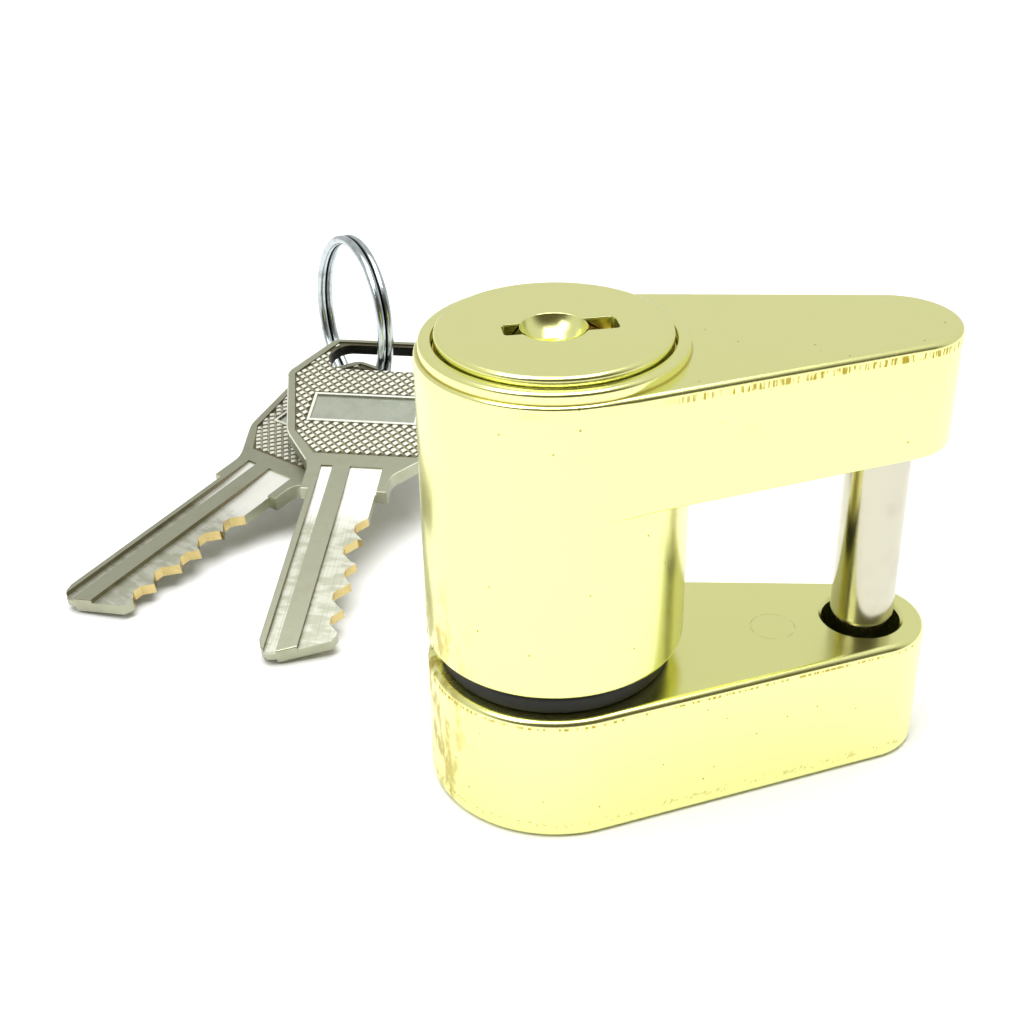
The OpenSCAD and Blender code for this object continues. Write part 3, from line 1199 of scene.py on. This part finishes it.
@dataclass
class Key:
    """One flat key with its cuts, milled grooves, ring slot, panel and knurled bow."""

    blade: float = 27.0
    width: float = 8.6
    thickness: float = 2.0
    shoulder_left: Point = (1.0, 4.6)
    shoulder_right: Point = (1.5, 3.0)
    neck: float = 8.0
    bow_width: float = 24.3
    bow_length: float = 22.4
    bow_corner: Point = (5.1, 7.6)
    bow_foot: Point = (9.5, 10.7)
    bow_foot_right: Point = (9.8, 6.8)
    cuts: tuple[float, ...] = (1.4, 2.0, 1.1, 1.7, 1.2)
    first_cut: float = 6.0
    pitch: float = 3.8
    cut_flat: float = 1.1
    tip: float = 3.6
    tip_corner: Point = (0.4, 1.0)
    tip_left: tuple[Point, ...] = ((0.0, 1.8), (0.4, 0.7), (1.2, 0.0), (2.6, 0.2))
    ring_slot: tuple[float, float, float] = (14.0, 5.4, 3.7)
    groove_depth: float = 0.55
    groove_top: float = 4.5
    groove_ramp: float = 5.5
    groove_rise: float = 0.55
    groove_left: Span = (0.8, 2.3)
    groove_right: float = 0.3
    panel: tuple[float, float, float] = (7.0, 5.4, 10.4)
    panel_depth: float = 0.25
    panel_frame: float = 0.35
    rim: float = 1.1
    knurl_top_rim: float = 0.55
    knurl_corner: Point = (0.35, 0.3)
    knurl_foot: Point = (0.6, 0.2)
    knurl_low: float = 1.3
    knurl_low_inset: Point = (3.4, 1.2)
    knurl_depth: float = 0.24
    knurl_skin: float = 0.01
    knurl_pitch: float = 0.93
    knurl_slope: float = 0.20
    corner_rounding: float = 0.9
    edge_rounding: float = 0.14
    cut_reach: float = 2.2
    # direction that the knurl slopes with painted shade face
    painted_shade_way: Point = (0.6, -0.8)

    def outline(self) -> list[Point]:
        """Returns the key's outline, anticlockwise from the left shoulder."""
        half, bow, top = self.width / 2, self.bow_width / 2, self.neck + self.bow_length
        points = [(-half, 0.0)]
        points += [(-half + inward, -self.blade + up) for inward, up in self.tip_left]
        inward, drop = self.tip_corner
        points += [(half - inward, -self.blade + self.tip - drop), (half, -self.blade + self.tip)]
        for index in reversed(range(len(self.cuts))):
            at = -self.first_cut - index * self.pitch
            depth = self.cuts[index]
            ramp = min(depth, (self.pitch - self.cut_flat) / 2)
            flat = self.cut_flat / 2
            points += [
                (half - depth + ramp, at - flat - ramp),
                (half - depth, at - flat),
                (half - depth, at + flat),
                (half - depth + ramp, at + flat + ramp),
            ]
        across, down = self.bow_corner
        left_out, left_top = self.shoulder_left
        right_out, right_top = self.shoulder_right
        points += [(half, 0.0), (half + right_out, 0.0), (half + right_out, right_top)]
        points += [self.bow_foot_right, (bow, top - down), (bow - across, top)]
        points += [(-bow + across, top), (-bow, top - down), (-self.bow_foot[0], self.bow_foot[1])]
        points += [(-half - left_out, left_top), (-half - left_out, 0.0)]
        return points

    def knurl_outline(self) -> list[Point]:
        """Returns the outline of the knurled field, a rim's width inside the bow."""
        bow = self.bow_width / 2 - self.rim
        top = self.neck + self.bow_length - self.rim * self.knurl_top_rim
        across, down = self.bow_corner
        corner, side = bow - across + self.knurl_corner[0], top - down + self.knurl_corner[1]
        foot, foot_height = self.bow_foot[0] - self.rim, self.bow_foot[1] + self.knurl_foot[1]
        low = self.neck - self.knurl_low
        left_inset, right_inset = self.knurl_low_inset
        right = [(self.bow_foot_right[0] - right_inset, low), (foot + self.knurl_foot[0], foot_height)]
        right += [(bow, side), (corner, top)]
        left = [(-corner, top), (-bow, side), (-foot, foot_height), (-foot + left_inset, low)]
        return right + left

    def groove_tool(self, left: float, right: float, side: Side) -> Workpiece:
        """Makes a cutter for a groove that runs out in a slope at its upper end.

        Args:
            left: one side of the groove.
            right: the other side.
            side: the face that it is cut into.

        Returns:
            The cutter.
        """
        face = self.thickness / 2
        floor = face - self.groove_depth
        low, high = sorted((side.value * floor, side.value * (face + 1)))
        end = self.groove_top - self.groove_ramp
        tool = Workpiece.block("groove_cutter", (left, -self.blade - 2, low), (right, end, high))
        tool.pick(Part.FACES, lambda f: f.normal.y > 0.9)
        tool.extrude((0, self.groove_ramp, 0))
        tool.pick(
            Part.VERTS,
            lambda v: v.co.y / MM > end + 0.1 and abs(v.co.z / MM - side.value * floor) < TOUCH,
        )
        tool.move((0, 0, side.value * self.groove_depth * self.groove_rise))
        tool.rest()
        return tool

    def slot_tool(self) -> Workpiece:
        """Makes the cutter for the ring slot: a cylinder with one half drawn along."""
        length, width, from_top = self.ring_slot
        reach = (length - width) / 2
        height = self.neck + self.bow_length - from_top
        tool = Workpiece.cylinder("slot_cutter", width / 2, -3, 3, (-reach, height), 48)
        tool.pick(Part.VERTS, lambda v: v.co.x / MM > -reach + TOUCH)
        tool.move((2 * reach, 0, 0))
        tool.rest()
        return tool

    def cut_faces(self, piece: Workpiece) -> None:
        """Cuts the fields for the knurl, the panels and the grooves into both faces."""
        face = self.thickness / 2
        for side in Side:
            low, high = sorted((side.value * (face - self.knurl_depth), side.value * (face + 1)))
            field_tool = Workpiece.plate("knurl_field", self.knurl_outline(), low, high)
            reach, foot, head = self.panel
            wall = self.panel_frame
            frame_low = (-reach - wall, self.neck + foot - wall, low - 1)
            frame_high = (reach + wall, self.neck + head + wall, high + 1)
            field_tool.combine(Workpiece.block("panel_frame", frame_low, frame_high))
            piece.combine(field_tool)
            low, high = sorted((side.value * (face - self.panel_depth), side.value * (face + 1)))
            panel_low = (-reach, self.neck + foot, low)
            piece.combine(Workpiece.block("panel", panel_low, (reach, self.neck + head, high)))
            near, far = self.groove_left
            piece.combine(self.groove_tool(-self.width / 2 + near, -self.width / 2 + far, side))
        piece.combine(self.groove_tool(self.groove_right, self.width / 2 + 0.2, Side.TOP))

    def knurl(self, piece: Workpiece, side: Side) -> None:
        """Cuts the knurled field of one face into diamonds and raises each whole one to a blunt point."""
        level = side.value * (self.thickness / 2 - self.knurl_depth)
        centre = Vector((0, self.neck + self.bow_length / 2, 0))
        reach = (self.bow_width + self.bow_length) / 2 / math.sqrt(2)
        steps = int(reach / self.knurl_pitch)

        def in_field(face: Any) -> bool:
            """Tells if a face belongs to the floor of the knurled field."""
            return face.normal.z * side.value > 0.9 and is_level(face, level)

        for slant in (1, -1):
            direction = Vector((1, slant, 0)).normalized()
            for step in range(-steps, steps + 1):
                piece.pick(Part.FACES, in_field)
                at = (centre + direction * step * self.knurl_pitch) * MM
                bpy.ops.mesh.bisect(plane_co=at, plane_no=direction, threshold=1e-7)
        whole = (self.knurl_pitch * MM) ** 2
        piece.pick(Part.FACES, lambda f: in_field(f) and f.calc_area() > 0.55 * whole)
        slope = self.knurl_pitch * self.knurl_slope * MM
        bpy.ops.mesh.inset(thickness=slope, depth=0.0, use_individual=True)
        piece.move((0, 0, side.value * (self.knurl_depth - self.knurl_skin)))

    def shape(self, name: str) -> Workpiece:
        """Shapes a whole key, lying flat with its shoulder at the origin, and returns it."""
        half = self.thickness / 2
        piece = Workpiece.plate(name, self.outline(), -half, half)
        piece.pick(Part.EDGES, lambda e: is_upright(e) and middle(e).y > 1.0)
        piece.bevel(self.corner_rounding, 4)
        piece.pick(Part.EDGES, lambda e: is_level(e, half) or is_level(e, -half))
        piece.bevel(self.edge_rounding, 2)
        piece.close_up()
        piece.combine(self.slot_tool())
        self.cut_faces(piece)
        piece.close_up()
        for side in Side:
            self.knurl(piece, side)
        piece.close_up()
        LOG.info("key shaped, %.1f mm long", self.blade + self.neck + self.bow_length)
        return piece

    def surface(self, face: Face) -> KeySurface:
        """Tells which finish a face of the key has.

        Args:
            face: the face in the key's own directions.

        Returns:
            The kind of surface.
        """
        at, up = face.center / MM, abs(face.normal.z)
        half, deep = self.width / 2, self.thickness / 2 - abs(face.center.z / MM)
        cuts_low, cuts_high = -self.blade + self.tip + 0.3, self.cut_reach - self.first_cut
        if up < 0.6 and at.x > half - self.cut_reach and cuts_low < at.y < cuts_high:
            return KeySurface.CUT
        if at.y < self.groove_top + 0.1 and abs(at.x) < half + 0.3 and deep > 0.03:
            if up > 0.9 and deep < self.thickness / 2:
                return KeySurface.MILLED
            # painted shade: the side walls of the grooves take the dark nickel
            if up < 0.5 and deep < self.groove_depth and -half + 0.5 < at.x < 1.0:
                return KeySurface.PAINTED_SHADE
        if at.y < self.neck - 1.5 or deep > self.knurl_depth + 0.03:
            slot_low, slot_high = self.neck + self.panel[2], self.neck + self.bow_length - 0.5
            in_slot = slot_low < at.y < slot_high and abs(at.x) < self.ring_slot[0] / 2 + 0.1
            return KeySurface.SHADED if in_slot and up < 0.3 else KeySurface.SATIN
        if up > 0.95 and 0.005 < deep < 0.02:
            return KeySurface.RUBBED_TOP_AND_PAINTED_LIGHT
        reach, foot, head = self.panel
        above = at.y - self.neck
        if foot - 0.4 < above < head + 0.4 and abs(at.x) < reach + 0.4:
            return KeySurface.RUBBED_TOP_AND_PAINTED_LIGHT if deep < 0.01 else KeySurface.PANEL
        # painted light and shade on the knurl: its floor and the slopes facing one way take the dark nickel,
        # the slopes facing the other way the bright rubbed nickel
        if 0.02 < deep < self.knurl_depth + 0.01 and abs(at.x) < self.bow_width / 2 - self.rim + 0.1:
            away = face.normal.x * self.painted_shade_way[0] + face.normal.y * self.painted_shade_way[1]
            if up > 0.95 or away > 0.4:
                return KeySurface.PAINTED_SHADE
            return KeySurface.SATIN if away > 0 else KeySurface.RUBBED_TOP_AND_PAINTED_LIGHT
        return KeySurface.SATIN


@dataclass
class KeySet:
    """Both keys, shaped once and laid down twice."""

    nickel: Finish
    cut_brass: Finish
    rubbed: Finish
    # the recess finish is painted shade
    recess: Finish
    panel: Finish
    shaded: Finish
    tilts: tuple[tuple[str, str, float, float], ...] = (
        ("front_key", "nickel_key_front", 14.0, -16.5),
        ("rear_key", "nickel_key_rear", 9.0, -47.0),
    )

    def build(self) -> list[bpy.types.Object]:
        """Builds, lays down and dresses both keys and returns them."""
        key = Key()
        pattern = key.shape("key_pattern")
        pattern.smooth(30.0)
        laid = []
        for node, name, tilt, turn in self.tilts:
            copy = pattern.obj.copy()
            copy.data = pattern.obj.data.copy()
            copy.name = copy.data.name = name
            bpy.context.scene.collection.objects.link(copy)
            piece = Workpiece(copy)
            lies = self.lay(piece, node, tilt, turn)
            finishes = {
                KeySurface.SATIN: self.nickel,
                KeySurface.MILLED: MilledNickel(f"milled_{name}", tuple(tuple(row) for row in lies)),
                KeySurface.CUT: self.cut_brass,
                KeySurface.RUBBED_TOP_AND_PAINTED_LIGHT: self.rubbed,
                KeySurface.PAINTED_SHADE: self.recess,
                KeySurface.PANEL: self.panel,
                KeySurface.SHADED: self.shaded,
            }
            piece.dress(*(finishes[surface] for surface in KeySurface))
            back = lies.inverted()
            for face in copy.data.polygons:
                seen = Face(back @ face.center, back.to_3x3() @ face.normal)
                face.material_index = key.surface(seen).value
            laid.append(piece.install(node, "nickel"))
        bpy.data.objects.remove(pattern.obj)
        return laid

    def lay(self, piece: Workpiece, node: str, tilt: float, turn: float) -> Matrix:
        """Turns a key to its place so that it fills the CAD node's box.

        Args:
            piece: the flat key.
            node: the CAD node that it stands for.
            tilt: how far the bow is raised, in degrees.
            turn: heading of the bow, in degrees.

        Returns:
            The matrix that took the key there.
        """
        way = Euler((math.radians(tilt), 0, math.radians(turn))).to_matrix().to_4x4()
        corners = [way @ v.co for v in piece.obj.data.vertices]
        low = Vector([min(c[i] for c in corners) for i in range(3)])
        high = Vector([max(c[i] for c in corners) for i in range(3)])
        cad_low, cad_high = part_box(node)
        lies = Matrix.Translation((cad_low + cad_high - low - high) / 2) @ way
        piece.lay(lies)
        return lies


@dataclass(frozen=True)
class RingWire(Finish):
    """Bright spring wire with a painted shade line where its two turns touch."""

    centre: tuple[float, ...] = (0.0, 0.0, 0.0)
    normal: tuple[float, ...] = (0.0, 0.0, 1.0)
    colour: Colour = (0.58, 0.64, 0.66)
    worn: Colour = (0.36, 0.40, 0.40)
    painted_crease_shade: Colour = (0.03, 0.035, 0.035)
    painted_crease_shade_edge: Span = (0.10, 0.30)
    roughness: float = 0.12

    def draw(self, graph: Graph) -> None:
        """Adds the painted shade line between the turns, drawing marks and haze."""
        at = graph.place()
        x, y, z = graph.axes(at)
        nx, ny, nz = self.normal
        offset = sum(a * b for a, b in zip(self.centre, self.normal))
        off = abs(x * nx + y * ny + z * nz - offset)
        haze = graph.noise(at, 2.0, 3.0)
        plain = graph.mix(haze.above(0.42, 0.75) * 0.8, self.colour, self.worn)
        # painted shade: the wire darkens near the ring's plane, where the two turns touch
        colour = graph.mix(off.above(*self.painted_crease_shade_edge), self.painted_crease_shade, plain)
        grain = graph.noise(at, 0.25, 2.0) * 0.002
        graph.metal(colour, self.roughness + haze * 0.15, graph.bump(grain))


@dataclass
class SplitRing:
    """The key ring: wire wound in two close turns with a crossing between them."""

    radius: float = 10.8
    wire: float = 0.6
    wire_sides: int = 16
    turn_gap: float = 0.9
    turn: float = 109.5
    lean: float = 3.4
    start: float = 200.0
    crossing: float = 26.0
    crossing_steps: int = 8
    end_gap: float = 4.0
    turn_steps: int = 88

    @staticmethod
    def sweep(angle: float, steps: int) -> None:
        """Carries the selected end of the wire round the ring by an angle in degrees."""
        bpy.ops.mesh.spin(
            steps=steps, angle=math.radians(angle), center=(0, 0, 0), axis=(0, 0, 1), dupli=False
        )

    def build(self) -> bpy.types.Object:
        """Builds and dresses the ring and returns it."""
        offset = self.wire * self.turn_gap
        one_turn = 360 - self.crossing - self.end_gap
        Workpiece.clear_bench()
        bpy.ops.mesh.primitive_circle_add(
            vertices=self.wire_sides,
            radius=self.wire * MM,
            fill_type="NOTHING",
            location=(self.radius * MM, 0, -offset * MM),
            rotation=(math.pi / 2, 0, 0),
        )
        piece = Workpiece.started("split_ring")
        piece.pick(Part.EDGES, lambda e: True)
        self.sweep(one_turn, self.turn_steps)
        steps = self.crossing_steps
        for step in range(steps):
            self.sweep(self.crossing / steps, 1)
            share = (1 - math.cos(math.pi * (step + 1) / steps)) / 2
            before = (1 - math.cos(math.pi * step / steps)) / 2
            piece.move((0, 0, 2 * offset * (share - before)))
        self.sweep(one_turn, self.turn_steps)
        piece.pick(Part.EDGES, lambda e: len(e.link_faces) == 1)
        bpy.ops.mesh.edge_face_add()
        piece.close_up()
        way = Euler((0, 0, math.radians(self.turn))).to_matrix()
        way = way @ Euler((math.radians(90 + self.lean), 0, 0)).to_matrix()
        way = way @ Euler((0, 0, math.radians(self.start))).to_matrix()
        low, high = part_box("key_ring")
        piece.lay(Matrix.Translation((low + high) / 2) @ way.to_4x4())
        piece.smooth(40.0, weighted=False)
        centre = tuple((low + high) / 2 / MM)
        piece.dress(RingWire("ring_wire", centre, tuple(way @ Vector((0, 0, 1)))))
        return piece.install("key_ring", "ring_steel")


# ---------------------------------------------------------------- hidden parts


@dataclass
class InnerParts:
    """The CAD nodes that are shown as they are, each with a procedural finish."""

    brass: Finish
    steel: Finish
    spring: Finish
    tumbler_travel: float = 0.6
    brass_nodes: tuple[str, ...] = (
        "cylinder_shell",
        "chamber_cover",
        "driver_pins",
        "plug",
        "key_pins",
    )

    def dress(self, done: Iterable[str]) -> None:
        """Gives every CAD node that is still shown its material.

        Args:
            done: nodes that a new piece stands for.
        """
        for name, obj in frame["nodes"].items():
            if name in done:
                continue
            finish = self.brass if name in self.brass_nodes else self.steel
            if name == "driver_springs":
                finish = self.spring
            obj.data.materials.clear()
            obj.data.materials.append(finish.material())
            LOG.info("%s is dressed in %s", name, finish.name)

    def shorten_springs(self) -> None:
        """Gives the springs a mesh of their own."""
        springs = frame["nodes"]["driver_springs"]
        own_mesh(springs)


# ---------------------------------------------------------------- stage and main


@dataclass
class Studio:
    """The pale floor, the soft light and the camera."""

    azimuth: float = -8.3
    elevation: float = 30.1
    distance: float = 145.0
    target: tuple[float, float, float] = (-4.6, -3.7, 32.1)
    roll: float = -0.98
    focal: float = 1572.0 / 1024 * 36
    floor_colour: Colour = (0.93, 0.93, 0.93)
    backdrop: Colour = (0.70, 0.70, 0.69)
    room: Colour = (0.09, 0.075, 0.045)
    aim_at: Triple = (0.0, 0.03, 0.02)
    lamps: tuple[tuple[str, Triple, float, float], ...] = (
        ("overhead", (0.0, -0.02, 0.62), 0.5, 3.6),
        ("upper_left", (-0.50, -0.30, 0.75), 0.4, 2.4),
    )
    floor_size: float = 8.0
    floor_gap: float = 0.00005

    def camera(self) -> None:
        """Adds the camera and makes it the scene's."""
        azimuth, elevation = math.radians(self.azimuth), math.radians(self.elevation)
        back = Vector(
            (
                math.sin(azimuth) * math.cos(elevation),
                -math.cos(azimuth) * math.cos(elevation),
                math.sin(elevation),
            )
        )
        target = Vector(self.target) * MM
        data = bpy.data.cameras.new("camera")
        data.lens, data.sensor_width = self.focal, 36.0
        data.clip_start, data.clip_end = 0.01, 20.0
        data.dof.use_dof = False
        camera = bpy.data.objects.new("camera", data)
        bpy.context.scene.collection.objects.link(camera)
        right = Vector((-back.y, back.x, 0)).normalized()
        up = back.cross(right)
        roll = math.radians(self.roll)
        across = right * math.cos(roll) + up * math.sin(roll)
        upward = up * math.cos(roll) - right * math.sin(roll)
        turn = Matrix((across, upward, back)).transposed().to_4x4()
        camera.matrix_world = Matrix.Translation(target + back * self.distance * MM) @ turn
        bpy.context.scene.camera = camera

    def surroundings(self) -> None:
        """Surrounds the scene with a pale backdrop that is dark only on the near side."""
        world = bpy.data.worlds.new("studio")
        bpy.context.scene.world = world
        world.use_nodes = True
        graph = Graph(world.node_tree)
        _, away, up = graph.axes(graph.node("ShaderNodeTexCoord").outputs["Generated"])
        room = (1 - away.above(-0.75, -0.15)) * up.above(0.02, 0.10) * (1 - up.above(0.72, 0.9))
        tone = graph.mix(room, self.backdrop, self.room)
        sky = graph.node("ShaderNodeBackground", None, {"Color": tone, "Strength": 1.0})
        graph.node("ShaderNodeOutputWorld", None, {"Surface": sky.outputs[0]})

    def lamp(self, name: str, at: Sequence[float], size: float, power: float) -> None:
        """Adds a square soft light that points at the object.

        Args:
            name: the light's name.
            at: its place, in metres.
            size: its width, in metres.
            power: its power, in watts.
        """
        data = bpy.data.lights.new(name, "AREA")
        data.size, data.energy, data.shape = size, power, "SQUARE"
        lamp = bpy.data.objects.new(name, data)
        lamp.location = at
        aim = Vector(self.aim_at) - Vector(at)
        lamp.rotation_euler = aim.to_track_quat("-Z", "Y").to_euler()
        bpy.context.scene.collection.objects.link(lamp)

    def floor(self) -> None:
        """Lays a plain pale floor under the object."""
        low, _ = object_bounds()
        Workpiece.clear_bench()
        level = low.z - self.floor_gap
        bpy.ops.mesh.primitive_plane_add(size=self.floor_size, location=(0, 0, level))
        floor = bpy.context.active_object
        floor.name = "floor"
        paint = bpy.data.materials.new("floor_paint")
        paint.use_nodes = True
        graph = Graph(paint.node_tree)
        values = {"Base Color": self.floor_colour, "Roughness": 0.9, "Specular IOR Level": 0.1}
        shader = graph.node("ShaderNodeBsdfPrincipled", None, values)
        graph.node("ShaderNodeOutputMaterial", None, {"Surface": shader.outputs[0]})
        floor.data.materials.append(paint)
        floor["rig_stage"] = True

    def build(self) -> None:
        """Adds the surroundings, the lights, the floor and the view's colour settings."""
        self.surroundings()
        for name, at, size, power in self.lamps:
            self.lamp(name, at, size, power)
        self.floor()
        bpy.context.scene.view_settings.view_transform = "Standard"
        bpy.context.scene.view_settings.look = "None"


def main() -> None:
    """Builds the camera, every piece and the stage, in order."""
    logging.basicConfig(level=logging.INFO, format="%(name)s: %(message)s")
    studio = Studio()
    studio.camera()
    # the rim, collar and flank settings place painted reflections and painted shade on the plating
    body_plating = GoldPlating(
        "gold_on_body", rim_painted_reflection=45.9, rim_painted_reflection_from=6.0, collar_foot_painted_shade=46.8, painted_reflection_flank_below=35.0
    )
    base_plating = GoldPlating(
        "gold_on_base", rim_painted_reflection=13.2, rim_painted_reflection_height=0.3, foot_line=1.6, ejector_at=(22.5, -0.5)
    )
    face_plating = GoldPlating("gold_on_face", ripple=0.004, speck_share=0.03)
    nickel = SatinNickel("satin_nickel")
    cut_brass = PlainMetal("cut_brass", (0.62, 0.50, 0.22), (0.36, 0.26, 0.09), 0.2, 0.01)
    # rubbed nickel serves worn knurl tops and a painted highlight on knurl slopes; recessed nickel is
    # painted shade in grooves and knurl
    rubbed = PlainMetal("rubbed_nickel_and_painted_light", (0.86, 0.86, 0.77), (0.66, 0.66, 0.57), 0.40)
    recess = PlainMetal("nickel_painted_shade", (0.20, 0.18, 0.12), (0.12, 0.10, 0.06), 0.35)
    panel = PlainMetal("panel_nickel", (0.60, 0.63, 0.52), (0.36, 0.39, 0.30), 0.20, patch=2.6)
    shaded = PlainMetal("slot_nickel", (0.035, 0.035, 0.030), (0.02, 0.02, 0.018), 0.4)
    LockBody(body_plating).build()
    BasePlate(base_plating).build()
    ShacklePin(TurnedSteel("polished_steel")).build()
    FaceDisc(face_plating).build()
    RubberWasher(Rubber("black_rubber")).build()
    KeySet(nickel, cut_brass, rubbed, recess, panel, shaded).build()
    SplitRing().build()
    inner = InnerParts(
        PlainMetal("bright_brass", (0.83, 0.63, 0.27), (0.60, 0.42, 0.16)),
        PlainMetal("zinc_steel", (0.66, 0.66, 0.64), (0.45, 0.45, 0.43)),
        PlainMetal("spring_wire", (0.70, 0.70, 0.68), (0.50, 0.50, 0.50), 0.18),
    )
    stood_for = {name for name, obj in frame["nodes"].items() if obj.hide_render}
    inner.dress(stood_for)
    inner.shorten_springs()
    studio.build()


if __name__ == "__main__":
    main()
